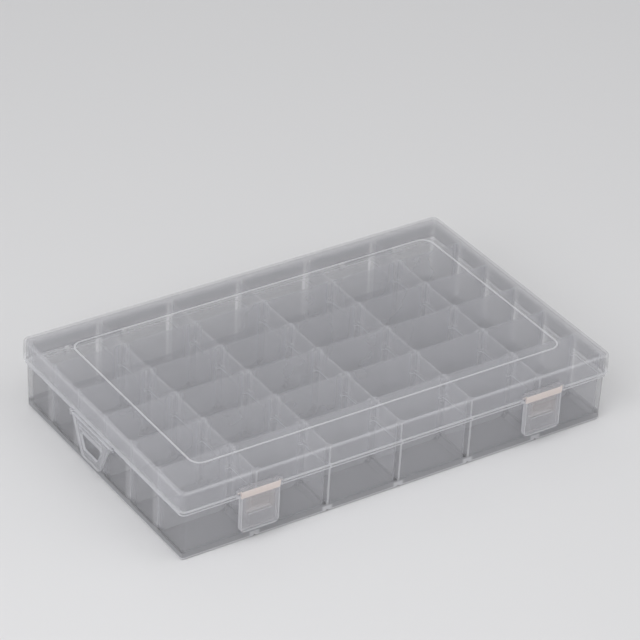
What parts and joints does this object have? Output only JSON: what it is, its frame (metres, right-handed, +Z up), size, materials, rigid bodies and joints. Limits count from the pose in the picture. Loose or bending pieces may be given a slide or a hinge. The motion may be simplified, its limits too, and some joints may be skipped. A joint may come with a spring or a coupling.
{
  "type": "compartment storage box",
  "caption": "Flat translucent plastic box with a hinged lid, front snap latches, loose dividers in ribbed troughs and a hang loop, for sorting small parts.",
  "frame": {"origin": "middle of the tray's underside, below the middle of the closed box", "axes": "+X along the box, with the hang loop on the -X end; -Y towards the latches; +Z up"},
  "size_m": [0.274, 0.176, 0.044],
  "materials": {
    "tray": "translucent natural polypropylene",
    "lid": "translucent natural polypropylene, satin",
    "latch": "translucent natural polypropylene, thicker and warmer",
    "loop": "translucent natural polypropylene",
    "divider": "translucent natural polypropylene, matt"
  },
  "bodies": {
    "box": {"base_tray": "tray", "divider_c1_r1": "divider", "divider_c1_r2": "divider", "divider_c1_r3": "divider", "divider_c1_r4": "divider", "divider_c1_r5": "divider", "divider_c2_r1": "divider", "divider_c2_r2": "divider", "divider_c2_r3": "divider", "divider_c2_r4": "divider", "divider_c2_r5": "divider", "divider_c3_r1": "divider", "divider_c3_r2": "divider", "divider_c3_r3": "divider", "divider_c3_r4": "divider", "divider_c3_r5": "divider", "divider_c4_r1": "divider", "divider_c4_r2": "divider", "divider_c4_r3": "divider", "divider_c4_r4": "divider", "divider_c4_r5": "divider", "divider_c5_r1": "divider", "divider_c5_r2": "divider", "divider_c5_r3": "divider", "divider_c5_r4": "divider", "divider_c5_r5": "divider", "divider_c6_r1": "divider", "divider_c6_r2": "divider", "divider_c6_r3": "divider", "divider_c6_r4": "divider", "divider_c6_r5": "divider"},
    "cover": {"lid": "lid"},
    "clip_left": {"latch_left": "latch"},
    "clip_right": {"latch_right": "latch"},
    "loop": {"hang_loop": "loop"}
  },
  "joints": [
    {"name": "lid_hinge", "type": "hinge", "parent": "box", "child": "cover", "pos_m": [0, 0.086, 0.0292], "axis": [-1, 0, 0], "range_deg": [0, 180]},
    {"name": "latch_left_pivot", "type": "hinge", "parent": "cover", "child": "clip_left", "pos_m": [-0.0902, -0.0857, 0.0339], "axis": [-1, 0, 0], "range_deg": [0, 100]},
    {"name": "latch_right_pivot", "type": "hinge", "parent": "cover", "child": "clip_right", "pos_m": [0.0902, -0.0857, 0.0339], "axis": [-1, 0, 0], "range_deg": [0, 100]},
    {"name": "loop_swing", "type": "hinge", "parent": "box", "child": "loop", "pos_m": [-0.13575, 0.008, 0.0274], "axis": [0, 1, 0], "range_deg": [0, 90]}
  ]
}
